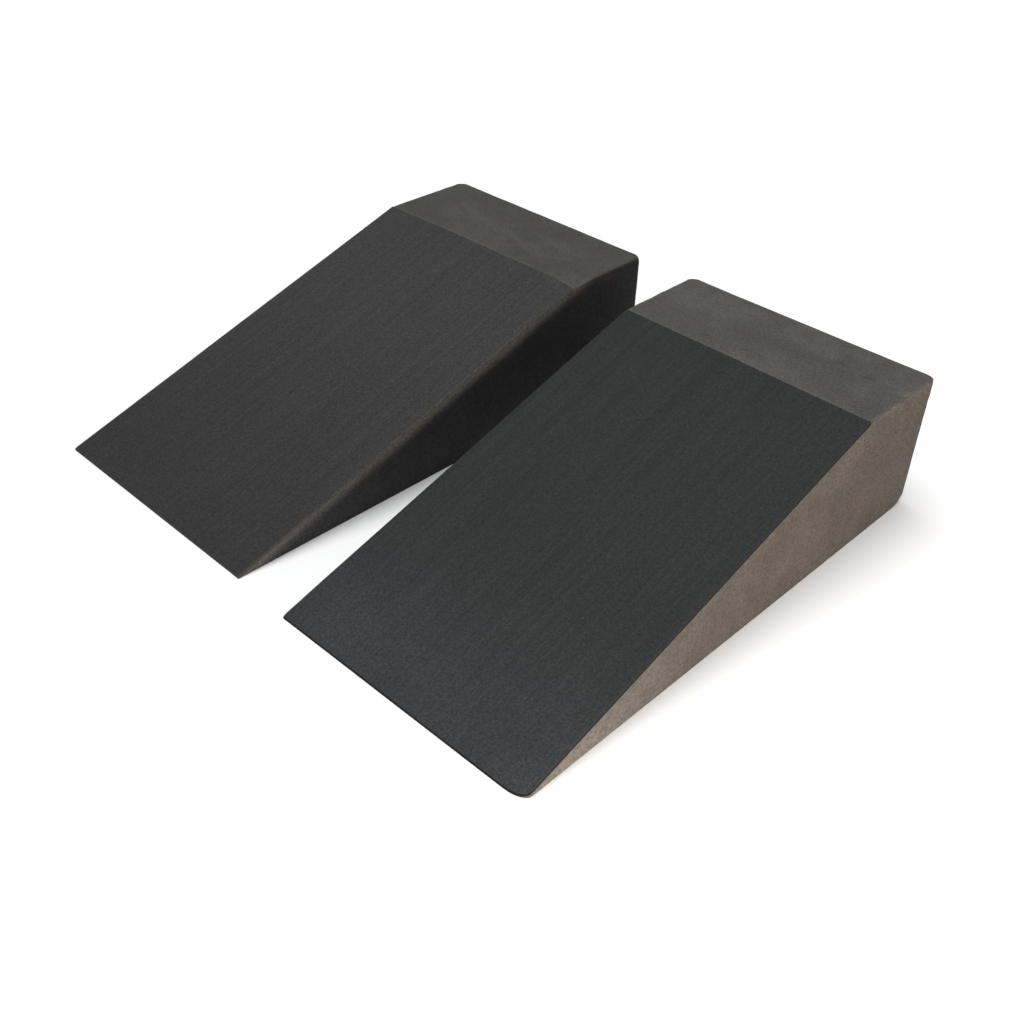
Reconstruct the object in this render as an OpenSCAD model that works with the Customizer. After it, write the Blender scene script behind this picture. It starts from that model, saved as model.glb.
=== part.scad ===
// A pair of foam leveling blocks: two loose wedges, each with a flat deck at its high end.
// Millimetres, +Z up. The origin is on the ground, under the middle of the pair.
// +X runs across the pair, and +Y runs from the toes to the high ends.

/* [Block] */
// Width of one block, across the tyre that it carries
block_width = 200; // [100:5:320]
// Height of the deck above the ground
block_height = 100; // [50:1:200]
// Ground length of the slope, from the toe to the deck
slope_run = 307; // [150:1:600]
// Length of the flat deck, front to back
deck_length = 78; // [40:1:240]

/* [Pair] */
// Clear gap between the two blocks, side to side
pair_gap = 49; // [2:1:600]

/* [Slope tread] */
// Thickness of the grip sheet that is bonded to the slope
tread_thickness = 2; // [1:0.5:6]

/* [Corners] */
// Radius of the upright corners at the high end, seen from above
back_corner_radius = 3; // [1:0.5:18]
// Radius of the toe's two corners, seen from above
toe_corner_radius = 2; // [1:0.5:20]
// Radius of the deck's back edge, seen from the side
deck_edge_radius = 3; // [1:0.5:15]
// Radius of the base's back edge, seen from the side
base_edge_radius = 15; // [1:0.5:25]

/* [Hidden] */
$fn = 64;

// Whole ground length of a block
block_length = slope_run + deck_length;
// Distance from the middle of the pair to the middle of a block
block_offset = (block_width + pair_gap) / 2;
// The sheet's underside starts on the ground at the toe, and its top ends level with the deck
slope_angle = atan2(block_height, slope_run) - asin(tread_thickness / norm([slope_run, block_height]));
// Thickness of the sheet measured straight up
tread_rise = tread_thickness / cos(slope_angle);

foam_colour = [0.36, 0.33, 0.31];
tread_colour = [0.21, 0.22, 0.23];

// A round of the given radius that touches both sides of a square corner.
// The directions, 1 or -1, point from the corner into the shape.
module corner_round(corner, direction, radius) {
    translate(corner + direction * radius)
        circle(r = radius);
}

// Outline of a block from above: the toe at y = 0, and the middle of its width at x = 0
module plan_outline() {
    half = block_width / 2;
    back = block_length;
    toe_r = toe_corner_radius;
    back_r = back_corner_radius;
    polygon([
        [-half + toe_r, 0], [half - toe_r, 0], [half, toe_r],
        [half, back - back_r], [half - back_r, back],
        [-half + back_r, back], [-half, back - back_r], [-half, toe_r]
    ]);
    for (side = [-1, 1]) {
        corner_round([side * half, 0], [-side, 1], toe_r);
        corner_round([side * half, back], [-side, -1], back_r);
    }
}

// Side view of the foam under the sheet: the toe is a feather edge at the origin
module foam_outline() {
    back = block_length;
    top = block_height;
    polygon([
        [0, 0], [back - base_edge_radius, 0], [back, base_edge_radius],
        [back, top - deck_edge_radius], [back - deck_edge_radius, top],
        [slope_run, top], [slope_run, top - tread_rise]
    ]);
    corner_round([back, 0], [-1, 1], base_edge_radius);
    corner_round([back, top], [-1, -1], deck_edge_radius);
}

// Side view of the sheet on the slope, with both its ends cut upright
module tread_outline() {
    polygon([
        [0, 0], [slope_run, block_height - tread_rise],
        [slope_run, block_height], [0, tread_rise]
    ]);
}

// Gives a side view the width of a block and trims it to the outline from above
module shape_block(side) {
    translate([side * block_offset, -block_length / 2, 0])
        intersection() {
            translate([-block_width / 2, 0, 0])
                rotate([90, 0, 90])
                    linear_extrude(block_width)
                        children();
            linear_extrude(block_height)
                plan_outline();
        }
}

module left_foam_block() {
    color(foam_colour) shape_block(-1) foam_outline();
}

module left_slope_tread() {
    color(tread_colour) shape_block(-1) tread_outline();
}

module right_foam_block() {
    color(foam_colour) shape_block(1) foam_outline();
}

module right_slope_tread() {
    color(tread_colour) shape_block(1) tread_outline();
}

left_foam_block();
left_slope_tread();
right_foam_block();
right_slope_tread();
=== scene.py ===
"""A pair of foam leveling blocks with a grip sheet let into each slope, in a pale studio."""

import math

import bmesh
import bpy
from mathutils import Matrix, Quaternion, Vector


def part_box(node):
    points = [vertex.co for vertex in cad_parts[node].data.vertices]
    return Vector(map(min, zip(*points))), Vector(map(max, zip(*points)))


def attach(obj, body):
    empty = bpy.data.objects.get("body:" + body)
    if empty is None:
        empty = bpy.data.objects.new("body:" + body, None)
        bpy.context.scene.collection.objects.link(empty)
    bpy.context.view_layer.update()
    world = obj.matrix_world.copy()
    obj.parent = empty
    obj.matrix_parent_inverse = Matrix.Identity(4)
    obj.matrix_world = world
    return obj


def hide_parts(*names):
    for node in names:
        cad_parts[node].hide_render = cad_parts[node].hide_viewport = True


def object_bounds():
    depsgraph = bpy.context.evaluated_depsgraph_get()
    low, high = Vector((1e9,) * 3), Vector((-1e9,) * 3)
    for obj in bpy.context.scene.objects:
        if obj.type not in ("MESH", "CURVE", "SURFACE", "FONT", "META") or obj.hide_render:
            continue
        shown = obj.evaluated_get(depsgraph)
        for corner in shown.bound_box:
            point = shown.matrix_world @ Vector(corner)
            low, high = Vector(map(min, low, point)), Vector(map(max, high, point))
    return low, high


bl_info = {
    "name": "Foam leveling blocks",
    "version": (1, 0, 0),
    "blender": (4, 5, 0),
    "location": "View3D > Sidebar > Leveling",
    "description": "Models a pair of foam leveling blocks with a grip sheet on each slope",
    "category": "Add Mesh",
}

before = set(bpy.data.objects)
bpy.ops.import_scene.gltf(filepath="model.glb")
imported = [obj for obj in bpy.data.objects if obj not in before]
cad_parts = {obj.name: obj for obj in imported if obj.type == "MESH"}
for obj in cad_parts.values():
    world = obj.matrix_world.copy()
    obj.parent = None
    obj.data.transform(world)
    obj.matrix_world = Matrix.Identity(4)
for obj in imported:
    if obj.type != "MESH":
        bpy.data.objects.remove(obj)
frame_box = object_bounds()

MM = 0.001
TOUCH = 0.02 * MM  # two places closer than this are the same place
SEATED = 0.2 * MM  # a place this close to the seat of a sheet is on it
FLOOR_GAP = 0.1 * MM  # the floor lies this far below the blocks
HOLD = 2 * MM  # distance from an edge to the cut that keeps its round small
CORNER_HOLD = 4 * MM  # distance from a rounded back corner to the nearest cut
SEAM = 8 * MM  # the foam's roughness fades out this close to the sheet and the floor
SHARP_ANGLE = math.radians(40)  # faces that meet at more than this are shaded with a sharp edge
WORN_SIDEWAYS = 0.3  # share of a corner's wear that also moves it sideways
WORN_FORWARD = 0.5  # share of a back corner's wear that also moves it forward
SCUFFED_EDGE = (1 * MM, 6 * MM)  # distances from an edge over which its scuffs fade out
SCUFFED_SIDE = (2 * MM, 8 * MM)  # distances from a side over which its scuffs fade out
SCUFFED_HEIGHT = (60 * MM, 90 * MM)  # heights over which the scuffs fade in
SKIN_TILT = {"left": (0.12, 0.7), "right": (0.35, 0.9)}  # upward tilts over which foam turns to skin
SKIN_DROP = (3 * MM, 1 * MM)  # depths below the sheet's seat at the deck over which foam turns to skin
FRONT_FADE = (0.6 * MM, 2.6 * MM)  # distances behind the deck's front edge over which its painted highlight fades
FRONT_DROP = (4 * MM, 2 * MM)  # depths below the deck over which that painted highlight fades in
RUBBED_START = 0.3 * MM  # an edge is rubbed most within this distance
NICK_CUTS = (-0.75, 0, 0.75)  # cuts through the nick, as shares of its reach
RIM_TILT = (0.4, 0.96)  # tilts to the slope over which a sheet's rim turns to its face
SENSOR_WIDTH = 36  # millimetres
VIEW_RANGE = (0.01, 50.0)  # nearest and furthest distance that the camera sees

# Sizes of the features in each texture, in metres, and how deep they look.
CELL_SIZE = 1.5 * MM
PIT_SPACING = 3.1 * MM
GRAIN_SIZE = 2.0 * MM
PATCH_SIZE = 11 * MM
BREAK_SIZE = 22 * MM
BLOTCH_SIZE = 38 * MM
STROKE_SIZE = (3 * MM, 3 * MM, 45 * MM)
PEBBLE_SIZE = 1.5 * MM
WEAVE_SIZE = (0.9 * MM, 5 * MM, 5 * MM)
STREAK_SIZE = (2.6 * MM, 160 * MM, 160 * MM)
SHEET_BLOTCH_SIZE = 48 * MM
FLOOR_TONE_SIZE = 1.3
CELL_RELIEF = 0.32 * MM
GRAIN_RELIEF = 0.16 * MM
PATCH_RELIEF = 0.25 * MM
PEBBLE_RELIEF = 0.2 * MM
STREAK_RELIEF = 0.15 * MM

MARK_DEPTH = 9 * MM  # how far a mark on one face reaches into the block
# The places and sizes of the marks below are in millimetres. x is from the middle of a block.
DULL_BAND = (10, 153, 75, 15)  # right deck: x, y, half length, half width
SMUDGES = ((-38, 127, 5, 2), (-7, 130, 6, 2.2), (47, 162, 8, 3), (70, 158, 7, 3))  # the same
PALE_STROKES = ((-30, 150, 42), (5, 146, 46), (40, 158, 34))  # left deck: x, y, half length
PALE_STROKE_WIDTH = 6
INNER_EDGE_HIGHLIGHTS = ((124, 17), (153, 20))  # painted warm highlights below the left deck's inner edge: y, half length
INNER_EDGE_HIGHLIGHT_HEIGHT = 96
SIDE_MARKS = (  # right block's outer face: y, z, half sizes along both, turn, softness, strength, tone
    (149, 95, 6, 6, 0, 0.8, 0.5, 1.35),  # a painted highlight by the nick
    (160, 93, 5, 7, 0, 0.9, 0.45, 0.7),  # a painted shadow by the nick
    (96, 14, 7, 22, 0.35, 0.9, 0.4, 0.75),  # a dark streak near the floor
    (142, 91, 9, 0.6, -1.21, 0.5, 0.6, 1.7),  # a scratch
)


# ---------------------------------------------------------------- sizes and colours


class FoamBlockSizes(bpy.types.PropertyGroup):
    """Sizes of the foam bodies and their sheets that the frame doesn't give."""

    tread_thickness: bpy.props.FloatProperty(
        name="Sheet thickness", description="Thickness of the grip sheet on a slope",
        default=2 * MM, unit="LENGTH")
    back_corner_radius: bpy.props.FloatProperty(
        name="Back corners", description="Radius of the upright corners at the high end",
        default=3 * MM, unit="LENGTH")
    worn_toe_across: bpy.props.FloatProperty(
        name="Worn toe, across",
        description="How far the right block's outer toe corner is worn along the toe",
        default=13 * MM, unit="LENGTH")
    worn_toe_along: bpy.props.FloatProperty(
        name="Worn toe, along",
        description="How far the right block's outer toe corner is worn along the side",
        default=7 * MM, unit="LENGTH")
    left_deck_roll: bpy.props.FloatProperty(
        name="Left deck roll", description="Width over which the left deck rolls into the sides",
        default=4.6 * MM, unit="LENGTH")
    right_deck_roll: bpy.props.FloatProperty(
        name="Right deck roll", description="Width over which the right deck rolls into the sides",
        default=2.8 * MM, unit="LENGTH")
    base_edge_radius: bpy.props.FloatProperty(
        name="Base edge", description="Radius of the lower edge of the back",
        default=15 * MM, unit="LENGTH")
    floor_fade: bpy.props.FloatProperty(
        name="Floor fade", description="Height over which the waviness fades out above the floor",
        default=15 * MM, unit="LENGTH")
    left_sheet_roll: bpy.props.FloatProperty(
        name="Left sheet roll",
        description="Width over which the left sheet's top rolls into its edge",
        default=2.2 * MM, unit="LENGTH")
    right_sheet_roll: bpy.props.FloatProperty(
        name="Right sheet roll",
        description="Width over which the right sheet's top rolls into its edge",
        default=0.6 * MM, unit="LENGTH")
    cage_pitch: bpy.props.FloatProperty(
        name="Cage pitch",
        description="Distance between the cuts that divide a face before smoothing",
        default=9 * MM, unit="LENGTH")
    smooth_levels: bpy.props.IntProperty(
        name="Smoothing levels", description="Subdivision levels of a finished piece",
        default=2, min=1, max=3)
    left_crease_skew: bpy.props.FloatProperty(
        name="Left deck skew",
        description="How much further back the deck starts on the left block's right side",
        default=2.0 * MM, unit="LENGTH")
    right_crease_skew: bpy.props.FloatProperty(
        name="Right deck skew",
        description="How much further back the deck starts on the right block's right side",
        default=-3.4 * MM, unit="LENGTH")
    left_toe_skew: bpy.props.FloatProperty(
        name="Left toe skew",
        description="How much further back the toe is on the left block's right side",
        default=0.8 * MM, unit="LENGTH")
    right_toe_skew: bpy.props.FloatProperty(
        name="Right toe skew",
        description="How much further back the toe is on the right block's right side",
        default=3.1 * MM, unit="LENGTH")
    sag: bpy.props.FloatProperty(
        name="Waviness", description="How far the foam's faces wander from flat",
        default=0.5 * MM, unit="LENGTH")
    sag_size: bpy.props.FloatProperty(
        name="Waviness size", description="Size of the slow waves in the foam's faces",
        default=75 * MM, unit="LENGTH")
    ripple: bpy.props.FloatProperty(
        name="Skin ripple", description="Height of the small unevenness in the foam's skin",
        default=0.22 * MM, unit="LENGTH")
    ripple_size: bpy.props.FloatProperty(
        name="Skin ripple size", description="Size of the small unevenness in the foam's skin",
        default=14 * MM, unit="LENGTH")
    scuff: bpy.props.FloatProperty(
        name="Scuffs", description="Height of the unevenness worn into the deck's side edges",
        default=0.55 * MM, unit="LENGTH")
    scuff_size: bpy.props.FloatProperty(
        name="Scuff size", description="Size of the unevenness worn into the deck's side edges",
        default=7 * MM, unit="LENGTH")
    nick_along_deck: bpy.props.FloatProperty(
        name="Nick place",
        description="Share of the deck's length where the right block's outer edge is nicked",
        default=0.53, subtype="FACTOR")
    nick_reach: bpy.props.FloatProperty(
        name="Nick reach", description="Distance from the middle of the nick to its rim",
        default=8 * MM, unit="LENGTH")
    nick_depth: bpy.props.FloatProperty(
        name="Nick depth", description="How far the nick is pressed in and down",
        default=1.0 * MM, unit="LENGTH")
    rubbed_width: bpy.props.FloatProperty(
        name="Rubbed width", description="How far the rubbed colour reaches from an edge",
        default=5 * MM, unit="LENGTH")
    worn_corner_reach: bpy.props.FloatProperty(
        name="Worn corner reach",
        description="Distance over which the left block's inner deck corner is worn down",
        default=26 * MM, unit="LENGTH")
    worn_corner_depth: bpy.props.FloatProperty(
        name="Worn corner depth",
        description="How far the left block's inner deck corner is worn down",
        default=1.8 * MM, unit="LENGTH")
    back_wear_reach: bpy.props.FloatProperty(
        name="Back wear reach",
        description="Distance over which the deck's back corners are worn down",
        default=7 * MM, unit="LENGTH")
    back_wear_depth: bpy.props.FloatProperty(
        name="Back wear depth", description="How far the deck's back corners are worn down",
        default=0.8 * MM, unit="LENGTH")


class FoamBlockFinishes(bpy.types.PropertyGroup):
    """Colours of the foam and the grip sheets, and how far some of them reach."""

    # The left cut foam is darker and greyer than the right's as painted shade: it stands in for the
    # shadow in the gap between the blocks, on all of the left block's cut faces.
    left_foam: bpy.props.FloatVectorProperty(
        name="Left cut foam", description="Colour of the left block's cut faces",
        default=(0.038, 0.037, 0.0365), subtype="COLOR", size=3)
    left_skin: bpy.props.FloatVectorProperty(
        name="Left foam skin", description="Colour of the smooth skin on the left deck",
        default=(0.058, 0.056, 0.052), subtype="COLOR", size=3)
    # On the left block the rubbed colour is partly wear and partly a painted warm highlight along its
    # edges, where the low key light grazes them.
    left_rubbed: bpy.props.FloatVectorProperty(
        name="Left rubbed edge", description="Colour of the left block where its edges are rubbed",
        default=(0.056, 0.051, 0.046), subtype="COLOR", size=3)
    # Painted warm highlight: reddish patches that stand in for the low key light catching the left deck's
    # rounded inner edge.
    left_painted_highlight: bpy.props.FloatVectorProperty(
        name="Left blush",
        description="Colour of the reddish patches under the left deck's inner edge",
        default=(0.064, 0.049, 0.045), subtype="COLOR", size=3)
    # The left dust colour is partly dust and partly painted light: the open toe end of the gap side is
    # painted lighter than its shaded back.
    left_dust: bpy.props.FloatVectorProperty(
        name="Left dust",
        description="Colour of the left block's sides where dust has settled near the toe",
        default=(0.061, 0.060, 0.059), subtype="COLOR", size=3)
    left_sheet: bpy.props.FloatVectorProperty(
        name="Left sheet", description="Colour of the left block's grip sheet",
        default=(0.038, 0.038, 0.038), subtype="COLOR", size=3)
    # The left sheet is darker towards its toe as painted shade.
    left_sheet_toe: bpy.props.FloatVectorProperty(
        name="Left sheet toe", description="Colour of the left block's grip sheet near its toe",
        default=(0.027, 0.027, 0.0272), subtype="COLOR", size=3)
    # The left sheet rim's slight warm tint is a painted warm highlight on the rolled rim.
    left_sheet_rim: bpy.props.FloatVectorProperty(
        name="Left sheet rim", description="Colour of the left sheet's rolled rim",
        default=(0.0385, 0.0365, 0.0335), subtype="COLOR", size=3)
    right_foam: bpy.props.FloatVectorProperty(
        name="Right cut foam", description="Colour of the right block's cut faces",
        default=(0.064, 0.0543, 0.0458), subtype="COLOR", size=3)
    right_skin: bpy.props.FloatVectorProperty(
        name="Right foam skin", description="Colour of the smooth skin on the right deck",
        default=(0.0745, 0.0722, 0.0675), subtype="COLOR", size=3)
    right_rubbed: bpy.props.FloatVectorProperty(
        name="Right rubbed edge",
        description="Colour of the right block where its edges are rubbed",
        default=(0.083, 0.072, 0.061), subtype="COLOR", size=3)
    # The right dust colour is partly dust and partly painted light: the toe end and lower part of the
    # outer face are painted lighter, as a near light would leave them.
    right_dust: bpy.props.FloatVectorProperty(
        name="Right dust",
        description="Colour of the right block's sides where dust has settled near the toe",
        default=(0.119, 0.106, 0.092), subtype="COLOR", size=3)
    right_sheet: bpy.props.FloatVectorProperty(
        name="Right sheet", description="Colour of the right block's grip sheet",
        default=(0.0225, 0.0234, 0.0238), subtype="COLOR", size=3)
    # The right sheet's lighter, bluer toe is partly dust and partly a painted sheen.
    right_sheet_toe: bpy.props.FloatVectorProperty(
        name="Right sheet toe", description="Colour of the dusty sheet near the right block's toe",
        default=(0.034, 0.0355, 0.038), subtype="COLOR", size=3)
    right_sheet_rim: bpy.props.FloatVectorProperty(
        name="Right sheet rim", description="Colour of the right sheet's cut rim",
        default=(0.006, 0.0058, 0.0056), subtype="COLOR", size=3)
    left_toe_reach: bpy.props.FloatProperty(
        name="Left toe reach", description="How far the toe's colour reaches up the left sheet",
        default=260 * MM, unit="LENGTH")
    right_toe_reach: bpy.props.FloatProperty(
        name="Right toe reach", description="How far the toe's colour reaches up the right sheet",
        default=120 * MM, unit="LENGTH")
    dust_reach: bpy.props.FloatProperty(
        name="Dust reach", description="How far the dust on the sides reaches from the toe",
        default=170 * MM, unit="LENGTH")
    dust_height: bpy.props.FloatProperty(
        name="Dust height", description="Height over which the dust on the sides thins out",
        default=50 * MM, unit="LENGTH")


class StudioSettings(bpy.types.PropertyGroup):
    """Camera, lights and floor."""

    azimuth: bpy.props.FloatProperty(
        name="Azimuth",
        description="Direction of view round the pair, from the front towards the right",
        default=math.radians(43.38), subtype="ANGLE")
    elevation: bpy.props.FloatProperty(
        name="Elevation", description="Angle of the view above level",
        default=math.radians(37.01), subtype="ANGLE")
    roll: bpy.props.FloatProperty(
        name="Roll", description="Turn of the camera about its own line of sight",
        default=math.radians(1.89), subtype="ANGLE")
    distance: bpy.props.FloatProperty(
        name="Distance", description="Distance from the camera to its aim point",
        default=0.817, unit="LENGTH")
    aim: bpy.props.FloatVectorProperty(
        name="Aim", description="Aim point, from the middle of the pair on the floor",
        default=(0.0428, -0.0141, -0.0026), subtype="XYZ", size=3)
    lens: bpy.props.FloatProperty(
        name="Lens", description="Focal length in millimetres on a 36 mm wide sensor",
        default=41.73)
    floor_size: bpy.props.FloatProperty(
        name="Floor size", description="Side of the square floor",
        default=60.0, unit="LENGTH")
    floor_colour: bpy.props.FloatVectorProperty(
        name="Floor colour", description="Colour of the pale floor",
        default=(0.93, 0.93, 0.93), subtype="COLOR", size=3)
    key_place: bpy.props.FloatVectorProperty(
        name="Key place", description="Place of the low warm light",
        default=(0.85, -0.30, 0.09), subtype="XYZ", size=3)
    key_width: bpy.props.FloatProperty(
        name="Key width", description="Width of the low warm light",
        default=0.30, unit="LENGTH")
    key_height: bpy.props.FloatProperty(
        name="Key height", description="Height of the low warm light's face",
        default=0.10, unit="LENGTH")
    key_power: bpy.props.FloatProperty(
        name="Key power", description="Power of the low warm light in watts",
        default=8.5)
    key_target: bpy.props.FloatVectorProperty(
        name="Key target", description="Place that the low warm light points at",
        default=(0.15, -0.05, 0.05), subtype="XYZ", size=3)
    key_colour: bpy.props.FloatVectorProperty(
        name="Key colour", description="Colour of the low warm light",
        default=(1.0, 0.93, 0.85), subtype="COLOR", size=3)
    top_azimuth: bpy.props.FloatProperty(
        name="Top azimuth",
        description="Direction of the light from above, from the front towards the right",
        default=math.radians(300), subtype="ANGLE")
    top_elevation: bpy.props.FloatProperty(
        name="Top elevation", description="Angle of the light from above over level",
        default=math.radians(78), subtype="ANGLE")
    top_spread: bpy.props.FloatProperty(
        name="Top spread", description="Angle that the soft light from above fills",
        default=math.radians(50), subtype="ANGLE")
    top_strength: bpy.props.FloatProperty(
        name="Top light", description="Strength of the soft light from above",
        default=2.65)
    ambient: bpy.props.FloatProperty(
        name="Ambient", description="Strength of the even light from all round",
        default=0.3)
    ambient_colour: bpy.props.FloatVectorProperty(
        name="Ambient colour", description="Colour of the even light from all round",
        default=(0.95, 0.975, 1.0), subtype="COLOR", size=3)


# ---------------------------------------------------------------- modelling helpers


def leave_edit_mode():
    """Goes back to object mode with nothing selected."""
    if bpy.context.mode != "OBJECT":
        bpy.ops.object.mode_set(mode="OBJECT")
    bpy.ops.object.select_all(action="DESELECT")


def add_box(name, low, high):
    """A box between two corners, with its place in its mesh, left open in edit mode."""
    leave_edit_mode()
    low, high = Vector(low), Vector(high)
    bpy.ops.mesh.primitive_cube_add(size=1, location=(low + high) / 2, scale=high - low)
    piece = bpy.context.active_object
    piece.name = name
    piece.data.name = name
    bpy.ops.object.transform_apply(location=True, rotation=True, scale=True)
    bpy.ops.object.mode_set(mode="EDIT")
    return piece


def select(piece, kind, wanted):
    """Selects the vertices, edges or faces (kind is VERT, EDGE or FACE) that wanted() accepts."""
    bpy.ops.mesh.select_mode(type=kind)
    bpy.ops.mesh.select_all(action="DESELECT")
    mesh = bmesh.from_edit_mesh(piece.data)
    items = {"VERT": mesh.verts, "EDGE": mesh.edges, "FACE": mesh.faces}[kind]
    found = [item for item in items if wanted(item)]
    if not found:
        raise RuntimeError(f"{piece.name}: nothing of kind {kind} to select")
    for item in found:
        item.select_set(True)
    mesh.select_flush_mode()
    bmesh.update_edit_mesh(piece.data)


def cut(place, normal, keep_inside=False):
    """Cuts the whole mesh with a plane. With keep_inside, what lies beyond goes and the cut is closed."""
    bpy.ops.mesh.select_all(action="SELECT")
    bpy.ops.mesh.bisect(
        plane_co=place, plane_no=normal, use_fill=keep_inside, clear_outer=keep_inside, threshold=TOUCH)


def round_upright_corner(corner, inward, reach_x, reach_y, steps=5):
    """Trims an upright corner to an oval round with cuts that touch it. inward is (1 or -1, 1 or -1)."""
    centre = Vector((corner[0] + inward[0] * reach_x, corner[1] + inward[1] * reach_y, 0))
    for step in range(steps):
        angle = math.pi / 2 * (step + 0.5) / steps
        towards_x = -inward[0] * math.cos(angle)
        towards_y = -inward[1] * math.sin(angle)
        touching = centre + Vector((towards_x * reach_x, towards_y * reach_y, 0))
        outward = Vector((towards_x / reach_x, towards_y / reach_y, 0)).normalized()
        cut(touching, outward, keep_inside=True)


def crease(piece, wanted, amount):
    """Keeps the edges that wanted() accepts sharp, by an amount up to 1, when the piece is smoothed."""
    select(piece, "EDGE", wanted)
    bpy.ops.transform.edge_crease(value=amount)


def round_base_edge(back, radius, steps=9):
    """Trims the lower edge of the back to a round with cuts that touch the round."""
    centre = Vector((0, back - radius, radius))
    for step in range(steps):
        angle = math.pi / 2 * (step + 0.5) / steps
        outward = Vector((0, math.cos(angle), -math.sin(angle)))
        cut(centre + outward * radius, outward, keep_inside=True)


def is_fold(edge, least=8):
    """True where two faces meet at more than an angle in degrees."""
    return len(edge.link_faces) == 2 and edge.calc_face_angle(0) > math.radians(least)


def both(edge, test):
    """True if test() accepts both ends of an edge."""
    return all(test(vertex.co) for vertex in edge.verts)


def spread(start, end, pitch):
    """Evenly spaced places strictly between two places, about a pitch apart."""
    count = max(1, round((end - start) / pitch))
    return [start + (end - start) * i / count for i in range(1, count)]


def cut_lengthways(shape, clear, pitch):
    """Divides a piece into strips along the block, from a clear distance inside one side to the other."""
    low, high = shape.left + clear, shape.right - clear
    for x in [low, *spread(low, high, pitch), high]:
        cut((x, 0, 0), (1, 0, 0))


def smooth(piece, levels):
    """Leaves edit mode and applies a subdivision surface."""
    leave_edit_mode()
    piece.select_set(True)
    bpy.context.view_layer.objects.active = piece
    surface = piece.modifiers.new("soft_edges", "SUBSURF")
    surface.levels = levels
    surface.render_levels = levels
    surface.boundary_smooth = "PRESERVE_CORNERS"
    bpy.ops.object.modifier_apply(modifier=surface.name)


def cloud(name, size, depth):
    """A soft cloud texture for moving vertices."""
    texture = bpy.data.textures.new(name, "CLOUDS")
    texture.noise_scale = size
    texture.noise_depth = depth
    return texture


def push(piece, texture, amount, direction, group):
    """Moves the vertices by a texture read in the frame's own coordinates, or all alike without one."""
    push_modifier = piece.modifiers.new("push", "DISPLACE")
    push_modifier.texture = texture
    push_modifier.texture_coords = "LOCAL"
    push_modifier.direction = direction
    push_modifier.mid_level = 0.5 if texture else 0.0
    push_modifier.strength = amount
    push_modifier.vertex_group = group
    bpy.ops.object.modifier_apply(modifier=push_modifier.name)


def weigh(piece, group, weight):
    """Fills a vertex group with a weight worked out from each vertex's place."""
    vertex_group = piece.vertex_groups.new(name=group)
    for vertex in piece.data.vertices:
        vertex_group.add([vertex.index], min(1.0, max(0.0, weight(vertex.co))), "REPLACE")


def dent(piece, name, centre, reach, offset):
    """Presses the surface in round a place, by an offset that fades out at its reach."""
    weigh(piece, name, lambda place: 1 - ease((place - centre).length, 0, reach))
    for direction, amount in zip("XYZ", offset):
        if amount:
            push(piece, None, amount, direction, name)


def note(piece, name, value):
    """Stores a number on each vertex, for the materials to read."""
    attribute = piece.data.attributes.new(name, "FLOAT", "POINT")
    attribute.data.foreach_set("value", [value(vertex) for vertex in piece.data.vertices])


def ease(value, low, high):
    """0 at low, 1 at high, and a smooth step between them."""
    share = min(1.0, max(0.0, (value - low) / (high - low)))
    return share * share * (3 - 2 * share)


def finish_mesh(piece):
    """Turns the faces outwards and shades them smooth, except across sharp edges."""
    leave_edit_mode()
    piece.select_set(True)
    bpy.context.view_layer.objects.active = piece
    bpy.ops.object.mode_set(mode="EDIT")
    bpy.ops.mesh.select_all(action="SELECT")
    bpy.ops.mesh.normals_make_consistent(inside=False)
    bpy.ops.object.mode_set(mode="OBJECT")
    bpy.ops.object.shade_smooth_by_angle(angle=SHARP_ANGLE)
    for group in list(piece.vertex_groups):
        piece.vertex_groups.remove(group)


# ---------------------------------------------------------------- the shape of one block


def own(settings, side, name):
    """The value that one side has for a setting."""
    return getattr(settings, f"{side}_{name}")


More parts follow.
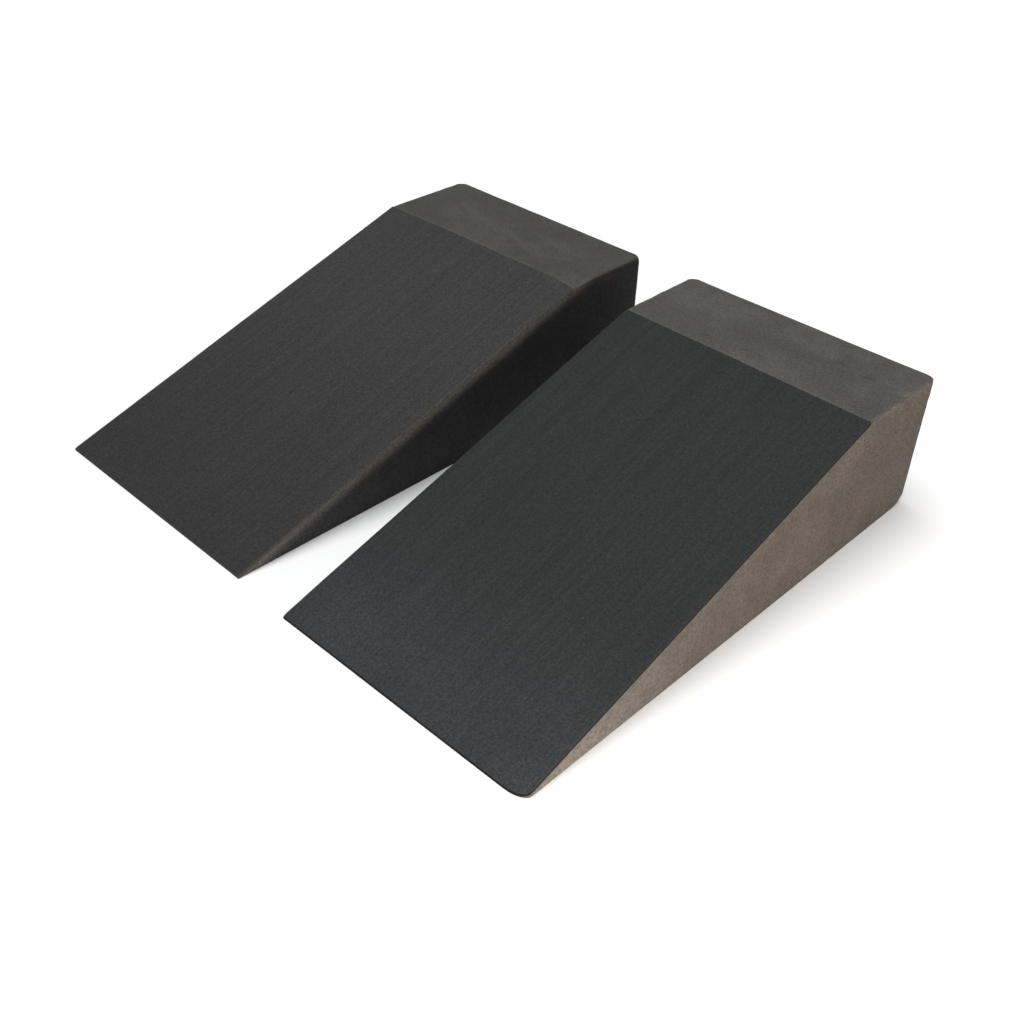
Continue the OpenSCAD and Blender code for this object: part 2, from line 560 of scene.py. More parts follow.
class BlockShape:
    """Places on one block, worked out from the frame's own solids."""

    def __init__(self, side, sizes):
        foam_low, foam_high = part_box(f"{side}_foam_block")
        tread_low, tread_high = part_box(f"{side}_slope_tread")
        self.side = side
        self.left, self.right = foam_low[0], foam_high[0]
        self.middle = (self.left + self.right) / 2
        self.toe, self.back = tread_low[1], foam_high[1]
        self.deck_start = tread_high[1]
        self.top = foam_high[2]
        run = self.deck_start - self.toe
        thickness = sizes.tread_thickness
        self.slope = math.atan2(self.top, run) - math.asin(thickness / math.hypot(run, self.top))
        self.tread_rise = thickness / math.cos(self.slope)
        self.crease_skew = own(sizes, side, "crease_skew")
        self.toe_skew = own(sizes, side, "toe_skew")
        self.deck_roll = own(sizes, side, "deck_roll")

    def across(self, x):
        """Place across the block, from -0.5 at its left side to 0.5 at its right side."""
        return (x - self.middle) / (self.right - self.left)

    def crease_y(self, x):
        """Where the deck starts, across the block."""
        return self.deck_start + self.crease_skew * self.across(x)

    def toe_y(self, x):
        """Where the toe is, across the block."""
        return self.toe + self.toe_skew * self.across(x)

    def foam_height(self, x, y):
        """Height of the foam under the sheet."""
        share = (y - self.toe_y(x)) / (self.crease_y(x) - self.toe_y(x))
        return (self.top - self.tread_rise) * share

    def surface_height(self, x, y):
        """Height of the top of the block, with its sheet."""
        if y >= self.crease_y(x):
            return self.top
        return self.tread_rise + self.foam_height(x, y)

    def trim_corners(self, sizes):
        """Rounds the upright corners at the back, and the worn one at the right block's toe."""
        radius = sizes.back_corner_radius
        round_upright_corner((self.left, self.back), (1, -1), radius, radius)
        round_upright_corner((self.right, self.back), (-1, -1), radius, radius)
        if self.side == "right":
            toe_corner = (self.right, self.toe_y(self.right))
            round_upright_corner(toe_corner, (-1, 1), sizes.worn_toe_across, sizes.worn_toe_along)

    def nick_y(self, sizes):
        """Where the nick in the deck's outer edge is."""
        return self.deck_start + sizes.nick_along_deck * (self.back - self.deck_start)

    def side_distance(self, place):
        """How far inside the nearer side of the block a place is."""
        return min(place.x - self.left, self.right - place.x)

    def edge_distance(self, place):
        """How far a place on the surface is from the nearest of the block's outer edges."""
        depths = sorted((
            max(0.0, self.side_distance(place)),
            max(0.0, self.back - place.y),
            max(0.0, (self.surface_height(place.x, place.y) - place.z) * math.cos(self.slope)),
        ))
        return depths[1]


def wear_corner(piece, shape, sizes):
    """Wears down the inner corner of the left block's deck, on both of its pieces alike."""
    if shape.side == "left":
        corner = Vector((shape.right, shape.crease_y(shape.right), shape.top))
        depth = sizes.worn_corner_depth
        dent(piece, "worn_corner", corner, sizes.worn_corner_reach, (-depth * WORN_SIDEWAYS, 0, -depth))


def wear_back_corners(piece, shape, sizes):
    """Wears down both corners at the back of a deck."""
    depth = sizes.back_wear_depth
    for name, x, inward in (("back_left", shape.left, 1), ("back_right", shape.right, -1)):
        corner = Vector((x, shape.back, shape.top))
        offset = (inward * depth * WORN_SIDEWAYS, -depth * WORN_FORWARD, -depth)
        dent(piece, name, corner, sizes.back_wear_reach, offset)


def wander(piece, sizes):
    """Lets both pieces of a block wander from flat together, and not at the floor."""
    weigh(piece, "above_floor", lambda place: ease(place.z, 0, sizes.floor_fade))
    for direction, depth in (("X", 0), ("Y", 1), ("Z", 2)):
        texture = cloud(f"sag_{direction}", sizes.sag_size, depth)
        push(piece, texture, sizes.sag, direction, "above_floor")


# ---------------------------------------------------------------- the pieces


def model_foam(shape, sizes):
    """The foam body: a deck block whose front is drawn out to a feather edge under the sheet."""
    piece = add_box(
        f"{shape.side}_foam_body",
        (shape.left, shape.deck_start, 0), (shape.right, shape.back, shape.top))
    step = shape.top - shape.tread_rise
    cut((0, 0, step), (0, 0, 1))
    select(piece, "FACE", lambda face: face.normal.y < -0.5 and face.calc_center_median().z < step)
    bpy.ops.mesh.extrude_region_move(
        TRANSFORM_OT_translate={"value": (0, shape.toe - shape.deck_start, 0)})
    bpy.ops.transform.resize(value=(1, 1, 0), center_override=(0, shape.toe, 0))
    bpy.ops.mesh.select_all(action="SELECT")
    bpy.ops.mesh.remove_doubles(threshold=TOUCH)
    skew_ends(piece, shape)
    shape.trim_corners(sizes)
    round_base_edge(shape.back, sizes.base_edge_radius)
    select(piece, "FACE", lambda face: face.normal.z > 0.9 and face.calc_center_median().z > step + TOUCH)
    bpy.ops.mesh.inset(thickness=shape.deck_roll, use_even_offset=True)
    cut((0, 0, shape.top - shape.deck_roll), (0, 0, 1))
    divide_foam(shape, sizes)
    crease_foam(piece, shape, sizes, step)
    smooth(piece, sizes.smooth_levels)
    wear_corner(piece, shape, sizes)
    wear_back_corners(piece, shape, sizes)
    wander(piece, sizes)
    roughen_foam(piece, shape, sizes)
    if shape.side == "right":
        nick = Vector((shape.right, shape.nick_y(sizes), shape.top))
        dent(piece, "nick", nick, sizes.nick_reach, (-sizes.nick_depth, 0, -sizes.nick_depth))
    skin_low, skin_high = (step - drop for drop in SKIN_DROP)
    note(piece, "skin", lambda vertex: (
        ease(vertex.normal.z, *SKIN_TILT[shape.side]) * ease(vertex.co.z, skin_low, skin_high)))
    note(piece, "edge_wear", lambda vertex: (
        1 - ease(shape.edge_distance(vertex.co), RUBBED_START, sizes.rubbed_width)))
    note(piece, "deck_front", lambda vertex: deck_front(shape, vertex))
    finish_mesh(piece)
    return piece


# Mask for the painted highlight along the deck's front edge.
def deck_front(shape, vertex):
    """1 on the deck's front edge, fading out over the first few millimetres of the deck."""
    behind = vertex.co.y - shape.crease_y(vertex.co.x)
    low, high = (shape.top - drop for drop in FRONT_DROP)
    return (1 - ease(behind, *FRONT_FADE)) * ease(vertex.co.z, low, high)


def skew_ends(piece, shape):
    """Turns the deck's front edge and the toe slightly, by moving their ends back and forward."""
    for x, share in ((shape.left, -0.5), (shape.right, 0.5)):
        for y, least_height, skew in (
            (shape.deck_start, shape.tread_rise / 2, shape.crease_skew),
            (shape.toe, -TOUCH, shape.toe_skew),
        ):
            select(piece, "VERT", lambda vertex: (
                abs(vertex.co.x - x) < TOUCH
                and abs(vertex.co.y - y) < TOUCH
                and vertex.co.z > least_height))
            bpy.ops.transform.translate(value=(0, skew * share, 0))


def divide_foam(shape, sizes):
    """Divides the body's faces into even strips, clear of its rounded corners and bands."""
    clear = sizes.back_corner_radius + CORNER_HOLD
    base = sizes.base_edge_radius + HOLD
    pitch = sizes.cage_pitch
    cut_lengthways(shape, clear, pitch)
    front_clear = (abs(shape.crease_skew) + pitch) / 2
    slope_places = spread(shape.toe + abs(shape.toe_skew), shape.deck_start - front_clear, pitch)
    deck_places = spread(shape.deck_start + front_clear, shape.back - base, pitch)
    for y in [*slope_places, *deck_places, shape.back - base, shape.back - clear]:
        cut((0, y, 0), (0, 1, 0))
    for z in [base, *spread(base, shape.top - shape.deck_roll, pitch), shape.top - clear]:
        cut((0, 0, z), (0, 0, 1))
    if shape.side == "right":
        for share in NICK_CUTS:
            cut((0, shape.nick_y(sizes) + share * sizes.nick_reach, 0), (0, 1, 0))


def crease_foam(piece, shape, sizes, step):
    """Keeps the base, feather edge and seat of the sheet sharp, and the deck's front edge nearly so."""
    def under_sheet(place):
        front = place.y < shape.crease_y(place.x) + TOUCH
        return front and abs(place.z - shape.foam_height(place.x, place.y)) < SEATED

    def near_base(place):
        return place.z < sizes.base_edge_radius + TOUCH

    def on_deck_front(place):
        return abs(place.y - shape.crease_y(place.x)) < TOUCH and place.z > step - TOUCH

    crease(piece, lambda edge: is_fold(edge) and both(edge, under_sheet), 1.0)
    crease(piece, lambda edge: is_fold(edge, 40) and both(edge, near_base), 1.0)
    crease(piece, lambda edge: is_fold(edge) and both(edge, on_deck_front), 0.7)


def roughen_foam(piece, shape, sizes):
    """Adds the small unevenness of foam to the faces that show, fading out at the sheet and the floor."""
    def shown(place):
        if place.y < shape.crease_y(place.x) + SEAM:
            below = shape.foam_height(place.x, place.y) - place.z
            return ease(min(below, place.z), 0, SEAM)
        return ease(place.z, 0, SEAM)

    def on_deck_side(place):
        on_edge = 1 - ease(shape.edge_distance(place), *SCUFFED_EDGE)
        on_side = 1 - ease(shape.side_distance(place), *SCUFFED_SIDE)
        return shown(place) * on_edge * on_side * ease(place.z, *SCUFFED_HEIGHT)

    weigh(piece, "shown", shown)
    weigh(piece, "deck_side", on_deck_side)
    push(piece, cloud("ripple", sizes.ripple_size, 1), -sizes.ripple, "NORMAL", "shown")
    push(piece, cloud("scuff", sizes.scuff_size, 2), -sizes.scuff, "NORMAL", "deck_side")


def model_tread(shape, sizes):
    """The grip sheet: a thin slab lifted at the deck end, with its top edges rolled over."""
    piece = add_box(
        f"{shape.side}_slope_sheet",
        (shape.left, shape.toe, 0), (shape.right, shape.deck_start, shape.tread_rise))
    select(piece, "FACE", lambda face: face.normal.y > 0.5)
    bpy.ops.transform.translate(value=(0, 0, shape.top - shape.tread_rise))
    skew_ends(piece, shape)
    shape.trim_corners(sizes)
    slope_normal = Vector((0, -math.sin(shape.slope), math.cos(shape.slope)))
    select(piece, "FACE", lambda face: face.normal.dot(slope_normal) > 0.9)
    bpy.ops.mesh.inset(thickness=own(sizes, shape.side, "sheet_roll"), use_even_offset=True)
    divide_tread(shape, sizes)
    crease_tread(piece, shape)
    smooth(piece, sizes.smooth_levels)
    wear_corner(piece, shape, sizes)
    wander(piece, sizes)
    note(piece, "rim", lambda vertex: 1 - ease(vertex.normal.dot(slope_normal), *RIM_TILT))
    finish_mesh(piece)
    return piece


def divide_tread(shape, sizes):
    """Divides the sheet into even strips, with cuts that hold its rolled edges in place."""
    clear = sizes.worn_toe_across + HOLD
    pitch = sizes.cage_pitch
    cut_lengthways(shape, clear, pitch)
    cut((shape.left + HOLD, 0, 0), (1, 0, 0))
    if shape.side == "left":
        cut((shape.right - HOLD, 0, 0), (1, 0, 0))
    for y in [shape.toe + clear, *spread(shape.toe + clear, shape.deck_start - pitch, pitch)]:
        cut((0, y, 0), (0, 1, 0))
    cut((0, shape.toe + abs(shape.toe_skew) / 2 + HOLD, 0), (0, 1, 0))
    cut((shape.middle, shape.deck_start - HOLD, 0), (-shape.crease_skew, shape.right - shape.left, 0))


def crease_tread(piece, shape):
    """Keeps the sheet's underside and upright corners sharp, and its end at the deck nearly so."""
    def on_foam(place):
        return abs(place.z - shape.foam_height(place.x, place.y)) < SEATED

    def at_deck(place):
        return abs(place.y - shape.crease_y(place.x)) < TOUCH

    def at_deck_corner(place):
        return at_deck(place) and shape.side_distance(place) < TOUCH

    def at_toe_corner(place):
        return shape.side_distance(place) < TOUCH and abs(place.y - shape.toe_y(place.x)) < TOUCH

    crease(piece, lambda edge: is_fold(edge) and both(edge, on_foam), 1.0)
    crease(piece, lambda edge: is_fold(edge) and both(edge, at_toe_corner), 0.9)
    crease(piece, lambda edge: is_fold(edge) and both(edge, at_deck), 0.7)
    crease(piece, lambda edge: is_fold(edge) and both(edge, at_deck_corner), 1.0)
    if shape.side == "right":
        select(piece, "VERT", lambda vertex: at_deck_corner(vertex.co))
        bpy.ops.transform.vert_crease(value=1.0)


# ---------------------------------------------------------------- material helpers


class Finish:
    """A material that is being built from nodes."""

    def __init__(self, name):
        self.material = bpy.data.materials.new(name)
        self.material.use_nodes = True
        self.nodes = self.material.node_tree.nodes
        self.links = self.material.node_tree.links
        self.nodes.clear()
        output = self.nodes.new("ShaderNodeOutputMaterial")
        self.shader = self.nodes.new("ShaderNodeBsdfPrincipled")
        self.links.new(self.shader.outputs["BSDF"], output.inputs["Surface"])
        self.place = self.nodes.new("ShaderNodeTexCoord").outputs["Object"]

    def feed(self, socket, value):
        """Links a socket to another socket, or sets it to a number or an opaque colour."""
        if isinstance(value, bpy.types.NodeSocket):
            self.links.new(value, socket)
        elif isinstance(value, (int, float)):
            socket.default_value = value
        else:
            socket.default_value = (*value, 1.0)

    def mapping(self, scale, turn=(0, 0, 0), centre=(0, 0, 0)):
        """Object coordinates about a centre, turned and scaled."""
        node = self.nodes.new("ShaderNodeMapping")
        node.vector_type = "TEXTURE"
        node.inputs["Location"].default_value = centre
        node.inputs["Rotation"].default_value = turn
        node.inputs["Scale"].default_value = scale
        self.links.new(self.place, node.inputs["Vector"])
        return node.outputs["Vector"]

    def noise(self, size, detail, roughness=0.5):
        """Noise whose features have a given size in metres, or a size along each axis."""
        size = (size, size, size) if isinstance(size, (int, float)) else size
        node = self.nodes.new("ShaderNodeTexNoise")
        node.inputs["Scale"].default_value = 1.0
        node.inputs["Detail"].default_value = detail
        node.inputs["Roughness"].default_value = roughness
        self.links.new(self.mapping(size), node.inputs["Vector"])
        return node.outputs["Fac"]

    def cells(self, size):
        """Distance from the middle of the nearest cell, for foam whose cells have a given size."""
        node = self.nodes.new("ShaderNodeTexVoronoi")
        node.inputs["Scale"].default_value = 1.0
        self.links.new(self.mapping((size, size, size)), node.inputs["Vector"])
        return node.outputs["Distance"]

    def remap(self, value, low, high, to_low=0.0, to_high=1.0, smooth_step=True):
        """Moves a value from one range to another, and holds it there."""
        node = self.nodes.new("ShaderNodeMapRange")
        node.interpolation_type = "SMOOTHSTEP" if smooth_step else "LINEAR"
        node.inputs["From Min"].default_value = low
        node.inputs["From Max"].default_value = high
        node.inputs["To Min"].default_value = to_low
        node.inputs["To Max"].default_value = to_high
        self.links.new(value, node.inputs["Value"])
        return node.outputs["Result"]

    def compute(self, operation, a, b):
        """One arithmetic step."""
        node = self.nodes.new("ShaderNodeMath")
        node.operation = operation
        self.feed(node.inputs[0], a)
        self.feed(node.inputs[1], b)
        return node.outputs["Value"]

    def blend(self, share, a, b):
        """Mixes two colours."""
        node = self.nodes.new("ShaderNodeMix")
        node.data_type = "RGBA"
        self.feed(node.inputs["Factor"], share)
        self.feed(node.inputs["A"], a)
        self.feed(node.inputs["B"], b)
        return node.outputs["Result"]

    def tint(self, share, strength, base, colour):
        """Lays a colour over another, by a share and a strength."""
        return self.blend(self.compute("MULTIPLY", share, strength), base, colour)

    def speckle(self, colour, noise, depth):
        """Makes a colour lighter and darker by a share, following a noise."""
        swing = self.remap(noise, 0.25, 0.75, -1.0, 1.0, smooth_step=False)
        factor = self.compute("ADD", self.compute("MULTIPLY", swing, depth), 1.0)
        node = self.nodes.new("ShaderNodeVectorMath")
        node.operation = "SCALE"
        self.links.new(colour, node.inputs[0])
        self.links.new(factor, node.inputs["Scale"])
        return node.outputs["Vector"]

    def attribute(self, name):
        """A number that is stored on the mesh."""
        node = self.nodes.new("ShaderNodeAttribute")
        node.attribute_name = name
        return node.outputs["Fac"]

    def mark(self, centre, half_size, softness, turn=(0, 0, 0)):
        """1 inside an oval mark on the surface, fading to 0 at its rim."""
        node = self.nodes.new("ShaderNodeVectorMath")
        node.operation = "LENGTH"
        self.links.new(self.mapping(half_size, turn, centre), node.inputs[0])
        return self.remap(node.outputs["Value"], 1 - softness, 1.0, 1.0, 0.0)

    def axis(self, name):
        """One object coordinate, in metres."""
        node = self.nodes.new("ShaderNodeSeparateXYZ")
        self.links.new(self.place, node.inputs[0])
        return node.outputs[name]

    def bump(self, *layers):
        """Stacks bumps, each a height and its distance in metres."""
        normal = None
        for height, distance in layers:
            node = self.nodes.new("ShaderNodeBump")
            node.inputs["Strength"].default_value = 1.0
            node.inputs["Distance"].default_value = distance
            self.links.new(height, node.inputs["Height"])
            if normal is not None:
                self.links.new(normal, node.inputs["Normal"])
            normal = node.outputs["Normal"]
        self.links.new(normal, self.shader.inputs["Normal"])


def scaled(colour, factor):
    """A colour made lighter or darker."""
    return tuple(min(1.0, channel * factor) for channel in colour)


# ---------------------------------------------------------------- finishes


def make_foam_finish(shape, colours):
    """Dense closed-cell foam: cut faces with fine cells, and a smoother mottled skin on the deck."""
    finish = Finish(f"{shape.side}_foam")
    grain = finish.noise(GRAIN_SIZE, detail=2, roughness=0.7)
    blotch = finish.noise(BLOTCH_SIZE, detail=3, roughness=0.55)
    patch = finish.noise(PATCH_SIZE, detail=2)
    ragged = finish.compute("MULTIPLY", finish.compute("SUBTRACT", patch, 0.5), 0.9)
    skin = finish.remap(finish.compute("ADD", finish.attribute("skin"), ragged), 0.3, 0.7)

    cut_face = colour_cut_face(finish, shape, colours, blotch, patch)
    film = colour_skin(finish, shape, colours, blotch, patch)
    base = finish.blend(skin, cut_face, film)
    broken = finish.remap(finish.noise(BREAK_SIZE, detail=2), 0.4, 0.6, 0.25, 0.95)
    spotty = finish.compute("MULTIPLY", broken, finish.remap(patch, 0.3, 0.6, 0.6, 1.0))
    # Rubbed edges: wear on both blocks, and on the left block also a painted warm highlight.
    rubbed = finish.compute("MULTIPLY", finish.attribute("edge_wear"), spotty)
    base = finish.blend(rubbed, base, own(colours, shape.side, "rubbed"))
    base = finish.speckle(base, grain, finish.remap(skin, 0, 1, 0.42, 0.34))
    finish.feed(finish.shader.inputs["Base Color"], base)

    rough = finish.remap(grain, 0.3, 0.7, 0.8, 0.92)
    smoother = finish.remap(patch, 0.3, 0.7, 0.56, 0.7)
    drop = finish.compute("MULTIPLY", skin, finish.compute("SUBTRACT", smoother, rough))
    finish.feed(finish.shader.inputs["Roughness"], finish.compute("ADD", drop, rough))
    finish.feed(finish.shader.inputs["Specular IOR Level"], finish.remap(skin, 0, 1, 0.14, 0.2))
    coarse = finish.compute("MULTIPLY", finish.compute("SUBTRACT", 1.0, skin), finish.cells(CELL_SIZE))
    fine = finish.compute("MULTIPLY", finish.remap(skin, 0, 1, 1.0, 0.8), grain)
    finish.bump((coarse, CELL_RELIEF), (fine, GRAIN_RELIEF), (patch, PATCH_RELIEF))
    return finish.material


def colour_cut_face(finish, shape, colours, blotch, patch):
    """The foam's cut faces: uneven, pitted and streaked, and lighter towards the toe and the floor,
    partly dust and partly painted light.
    """
    # On the left block this foam colour carries a painted shade of the gap between the blocks.
    colour = own(colours, shape.side, "foam")
    # Dust and painted light: the sides are tinted lighter towards the toe and nearer the floor.
    toward_toe = finish.remap(finish.axis("Y"), shape.toe, shape.toe + colours.dust_reach, 1.0, 0.0)
    near_floor = finish.remap(finish.axis("Z"), 0, colours.dust_height, 1.0, 0.35)
    strokes = finish.noise(STROKE_SIZE, detail=2)
    pits = finish.remap(finish.cells(PIT_SPACING), 0.08, 0.24, 1.0, 0.0)
    face = finish.blend(finish.remap(blotch, 0.35, 0.65), scaled(colour, 0.9), scaled(colour, 1.08))
    face = finish.tint(toward_toe, near_floor, face, own(colours, shape.side, "dust"))
    face = finish.blend(finish.remap(strokes, 0.42, 0.75, 0, 0.35), face, scaled(colour, 1.18))
    face = finish.blend(finish.remap(patch, 0.5, 0.75, 0, 0.3), face, scaled(colour, 0.8))
    face = finish.tint(pits, 0.38, face, scaled(colour, 0.5))
    # The left block gets painted warm highlights under its inner deck edge.
    if shape.side == "left":
        return add_painted_highlights(finish, shape, face, colours.left_painted_highlight)
    return add_side_marks(finish, shape, face, colour)


def colour_skin(finish, shape, colours, blotch, patch):
    """The deck's skin: mottled, marked, and with a patchy painted highlight along its front edge."""
    colour = own(colours, shape.side, "skin")
    film = finish.blend(finish.remap(blotch, 0.38, 0.62), scaled(colour, 0.9), scaled(colour, 1.08))
    film = finish.blend(finish.remap(patch, 0.42, 0.7, 0, 0.5), film, scaled(colour, 0.82))
    if shape.side == "left":
        film = add_pale_strokes(finish, shape, film, colour)
    else:
        film = add_smudges(finish, shape, film, colour)
    # Painted highlight along the deck's front edge, patchy and stronger on the left block.
    front_highlight_tone = 1.4 if shape.side == "left" else 1.15
    worn = finish.remap(patch, 0.25, 0.6, 0.2, 0.8)
    return finish.tint(finish.attribute("deck_front"), worn, film, scaled(colour, front_highlight_tone))


def add_smudges(finish, shape, film, colour):
    """A dull band and dark smudges on the right deck."""
    x, y, length, width = DULL_BAND
    place = (shape.middle + x * MM, y * MM, shape.top)
    dull = finish.mark(place, (length * MM, width * MM, MARK_DEPTH), 0.95, turn=(0, 0, 0.05))
    film = finish.tint(dull, 0.8, film, scaled(colour, 0.76))
    for x, y, length, width in SMUDGES:
        place = (shape.middle + x * MM, y * MM, shape.top)
        smudge = finish.mark(place, (length * MM, width * MM, MARK_DEPTH), 0.9, turn=(0, 0, 0.3))
        film = finish.tint(smudge, 0.75, film, scaled(colour, 0.58))
    return film


def add_pale_strokes(finish, shape, film, colour):
    """Pale strokes across the left deck."""
    for x, y, length in PALE_STROKES:
        place = (shape.middle + x * MM, y * MM, shape.top)
        half_size = (length * MM, PALE_STROKE_WIDTH * MM, MARK_DEPTH)
        stroke = finish.mark(place, half_size, 0.95, turn=(0, 0, -0.25))
        film = finish.tint(stroke, 0.38, film, scaled(colour, 1.35))
    return film


def add_painted_highlights(finish, shape, face, highlight_colour):
    """Painted warm highlights: soft reddish patches just under the left deck's inner edge."""
    for y, half_length in INNER_EDGE_HIGHLIGHTS:
        place = (shape.right, y * MM, INNER_EDGE_HIGHLIGHT_HEIGHT * MM)
        blush = finish.mark(place, (MARK_DEPTH, half_length * MM, MARK_DEPTH), 0.95)
        face = finish.tint(blush, 0.75, face, highlight_colour)
    return face


def add_side_marks(finish, shape, face, colour):
    """A painted highlight and a painted shadow by the nick, a streak and a scratch on the right block's
    outer face.
    """
    for y, z, half_y, half_z, turn, softness, strength, tone in SIDE_MARKS:
        half_size = (MARK_DEPTH, half_y * MM, half_z * MM)
        spot = finish.mark((shape.right, y * MM, z * MM), half_size, softness, turn=(turn, 0, 0))
        face = finish.tint(spot, strength, face, scaled(colour, tone))
    return face


def make_sheet_finish(shape, colours):
    """Dark grip sheet: a fine pebble grain with faint brushed streaks up the slope."""
    colour = own(colours, shape.side, "sheet")
    toe_end = shape.toe + own(colours, shape.side, "toe_reach")
    finish = Finish(f"{shape.side}_sheet")
    pebble = finish.noise(PEBBLE_SIZE, detail=2, roughness=0.7)
    weave = finish.noise(WEAVE_SIZE, detail=1)
    streak = finish.noise(STREAK_SIZE, detail=2, roughness=0.6)
    blotch = finish.noise(SHEET_BLOTCH_SIZE, detail=3)
    # Towards the toe the sheet turns to its toe colour: on the left a painted shade, on the right partly
    # dust and partly a painted sheen.
    toward_toe = finish.remap(finish.axis("Y"), shape.toe, toe_end, 1.0, 0.0)
    base = finish.blend(toward_toe, colour, own(colours, shape.side, "sheet_toe"))
    base = finish.blend(finish.remap(blotch, 0.35, 0.7, 0, 0.3), base, scaled(colour, 0.85))
    base = finish.speckle(base, streak, 0.13)
    base = finish.speckle(base, weave, 0.08)
    # On the left sheet the rim colour adds a slight painted warm highlight.
    base = finish.blend(finish.attribute("rim"), base, own(colours, shape.side, "sheet_rim"))
    base = finish.speckle(base, pebble, 0.5)
    finish.feed(finish.shader.inputs["Base Color"], base)
    finish.feed(finish.shader.inputs["Roughness"], finish.remap(pebble, 0.3, 0.7, 0.74, 0.9))
    finish.shader.inputs["Specular IOR Level"].default_value = 0.15
    finish.bump((pebble, PEBBLE_RELIEF), (streak, STREAK_RELIEF))
    return finish.material


def make_floor_finish(colour):
    """Matt pale paper with a very faint unevenness."""
    finish = Finish("pale_floor")
    tone = finish.noise(FLOOR_TONE_SIZE, detail=2)
    base = finish.blend(finish.remap(tone, 0.3, 0.7), colour, scaled(colour, 0.985))
    finish.feed(finish.shader.inputs["Base Color"], base)
    finish.shader.inputs["Roughness"].default_value = 0.95
    finish.shader.inputs["Specular IOR Level"].default_value = 0.1
    return finish.material


# ---------------------------------------------------------------- operators


class LEVELING_OT_foam_bodies(bpy.types.Operator):
    """Models the foam body of each block"""

    bl_idname = "leveling.foam_bodies"
    bl_label = "Foam bodies"
    bl_options = {"REGISTER", "UNDO"}

    def execute(self, context):
        """Models both foam bodies, gives them their finish and ties them to the frame."""
        sizes = context.scene.foam_block_sizes
        colours = context.scene.foam_block_finishes
        for side in ("left", "right"):
            shape = BlockShape(side, sizes)
            piece = model_foam(shape, sizes)
            piece.data.materials.append(make_foam_finish(shape, colours))
            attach(piece, f"{side}_block")
            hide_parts(f"{side}_foam_block")
        return {"FINISHED"}


class LEVELING_OT_slope_sheets(bpy.types.Operator):
    """Models the grip sheet on each slope"""

    bl_idname = "leveling.slope_sheets"
    bl_label = "Slope sheets"
    bl_options = {"REGISTER", "UNDO"}

    def execute(self, context):
        """Models both sheets, gives them their finish and ties them to the frame."""
        sizes = context.scene.foam_block_sizes
        colours = context.scene.foam_block_finishes
        for side in ("left", "right"):
            shape = BlockShape(side, sizes)
            piece = model_tread(shape, sizes)
            piece.data.materials.append(make_sheet_finish(shape, colours))
            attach(piece, f"{side}_block")
            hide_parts(f"{side}_slope_tread")
        return {"FINISHED"}


def towards(azimuth, elevation):
    """Direction from the pair towards a place: azimuth 0 is the front, 90 degrees is the right."""
    flat = math.cos(elevation)
    return Vector((math.sin(azimuth) * flat, -math.cos(azimuth) * flat, math.sin(elevation)))


def add_light(name, kind, place, target, colour):
    """A light at a place, turned to a target."""
    leave_edit_mode()
    bpy.ops.object.light_add(type=kind, location=place)
    lamp = bpy.context.active_object
    lamp.name = name
    lamp.rotation_mode = "QUATERNION"
    lamp.rotation_quaternion = (Vector(target) - Vector(place)).to_track_quat("-Z", "Y")
    lamp.visible_camera = False
    lamp.data.color = colour
    return lamp.data


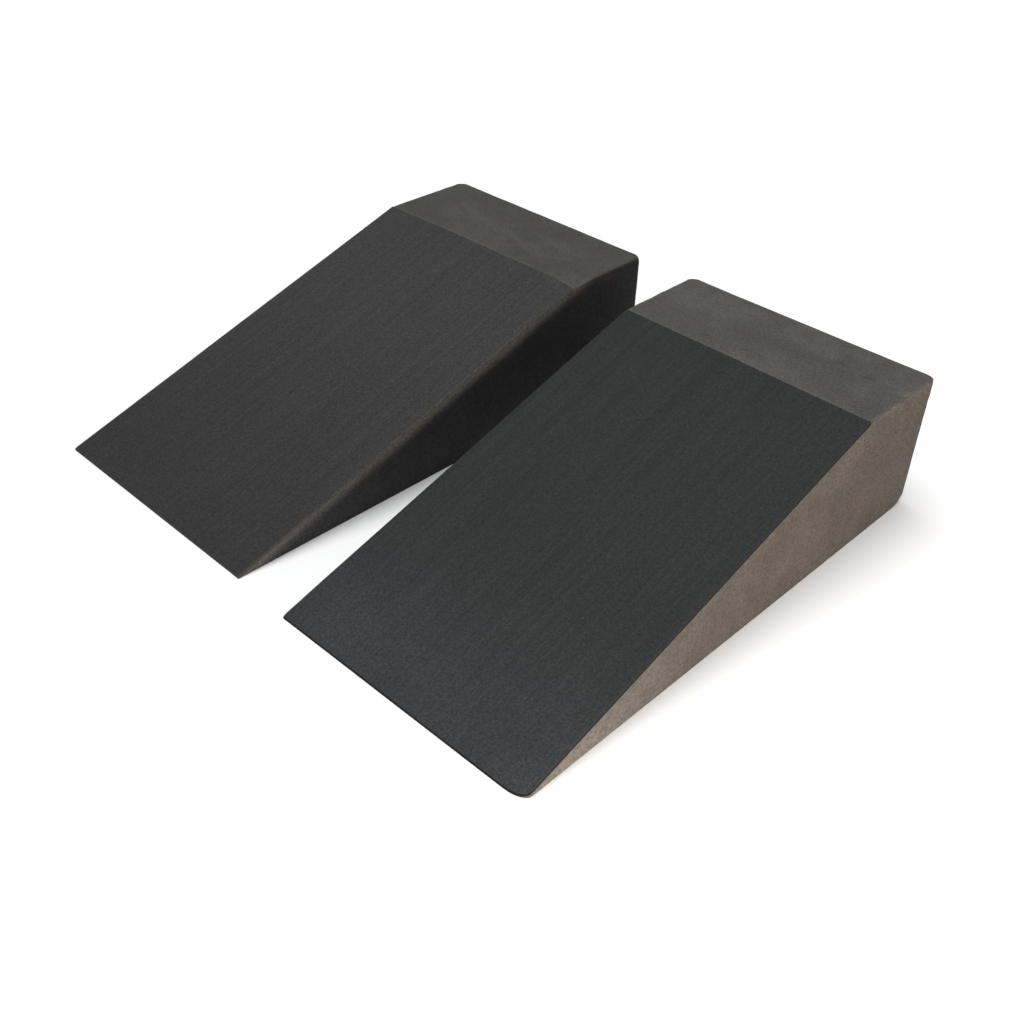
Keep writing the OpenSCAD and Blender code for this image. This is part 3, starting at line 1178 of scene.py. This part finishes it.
class LEVELING_OT_studio(bpy.types.Operator):
    """Sets up the pale floor, the soft lights and the camera"""

    bl_idname = "leveling.studio"
    bl_label = "Studio"
    bl_options = {"REGISTER", "UNDO"}

    def execute(self, context):
        """Adds the camera, the floor and the lights."""
        studio = context.scene.leveling_studio
        self.add_camera(context, studio)
        self.add_floor(studio)
        self.add_lights(context, studio)
        context.scene.view_settings.view_transform = "Standard"
        return {"FINISHED"}

    def add_camera(self, context, studio):
        """Places the camera by its direction of view, roll, distance and aim."""
        leave_edit_mode()
        back = towards(studio.azimuth, studio.elevation)
        middle = (frame_box[0] + frame_box[1]) / 2
        aim = Vector((middle.x, middle.y, frame_box[0].z)) + Vector(studio.aim)
        bpy.ops.object.camera_add(location=aim + back * studio.distance)
        camera = bpy.context.active_object
        camera.name = "camera"
        camera.rotation_mode = "QUATERNION"
        roll = Quaternion((0, 0, 1), studio.roll)
        camera.rotation_quaternion = (-back).to_track_quat("-Z", "Y") @ roll
        camera.data.sensor_width = SENSOR_WIDTH
        camera.data.lens = studio.lens
        camera.data.clip_start, camera.data.clip_end = VIEW_RANGE
        context.scene.camera = camera

    def add_floor(self, studio):
        """Lays a floor far past the view."""
        leave_edit_mode()
        height = frame_box[0].z - FLOOR_GAP
        bpy.ops.mesh.primitive_plane_add(size=studio.floor_size, location=(0, 0, height))
        floor = bpy.context.active_object
        floor.name = "studio_floor"
        bpy.ops.object.transform_apply(location=True, rotation=True, scale=True)
        floor.data.materials.append(make_floor_finish(studio.floor_colour))

    def add_lights(self, context, studio):
        """A low warm key from the right, a broad light from above and an even cool fill."""
        key = add_light("warm_key", "AREA", studio.key_place, studio.key_target, studio.key_colour)
        key.shape = "RECTANGLE"
        key.size = studio.key_width
        key.size_y = studio.key_height
        key.energy = studio.key_power
        above = towards(studio.top_azimuth, studio.top_elevation)
        top = add_light("top_light", "SUN", above, (0, 0, 0), (1.0, 1.0, 1.0))
        top.energy = studio.top_strength
        top.angle = studio.top_spread
        world = bpy.data.worlds.new("studio")
        world.use_nodes = True
        backdrop = world.node_tree.nodes["Background"]
        backdrop.inputs["Color"].default_value = (*studio.ambient_colour, 1.0)
        backdrop.inputs["Strength"].default_value = studio.ambient
        context.scene.world = world


class LEVELING_PT_panel(bpy.types.Panel):
    """Lists the pieces and the stage"""

    bl_idname = "LEVELING_PT_panel"
    bl_label = "Foam leveling blocks"
    bl_space_type = "VIEW_3D"
    bl_region_type = "UI"
    bl_category = "Leveling"

    def draw(self, context):
        """Shows the settings, and a button for each operator."""
        scene = context.scene
        for group in (scene.foam_block_sizes, scene.foam_block_finishes, scene.leveling_studio):
            column = self.layout.column(align=True)
            for name in group.__annotations__:
                column.prop(group, name)
        for operator in OPERATORS:
            self.layout.operator(operator.bl_idname)


OPERATORS = (LEVELING_OT_foam_bodies, LEVELING_OT_slope_sheets, LEVELING_OT_studio)
CLASSES = (FoamBlockSizes, FoamBlockFinishes, StudioSettings, *OPERATORS, LEVELING_PT_panel)


def register():
    """Registers the classes and their settings."""
    for item in CLASSES:
        bpy.utils.register_class(item)
    bpy.types.Scene.foam_block_sizes = bpy.props.PointerProperty(type=FoamBlockSizes)
    bpy.types.Scene.foam_block_finishes = bpy.props.PointerProperty(type=FoamBlockFinishes)
    bpy.types.Scene.leveling_studio = bpy.props.PointerProperty(type=StudioSettings)


def unregister():
    """Takes the settings and the classes away again."""
    del bpy.types.Scene.foam_block_sizes
    del bpy.types.Scene.foam_block_finishes
    del bpy.types.Scene.leveling_studio
    for item in reversed(CLASSES):
        bpy.utils.unregister_class(item)


def main():
    """Builds the stage and the pieces."""
    register()
    bpy.ops.leveling.studio()
    bpy.ops.leveling.foam_bodies()
    bpy.ops.leveling.slope_sheets()


if __name__ == "__main__":
    main()
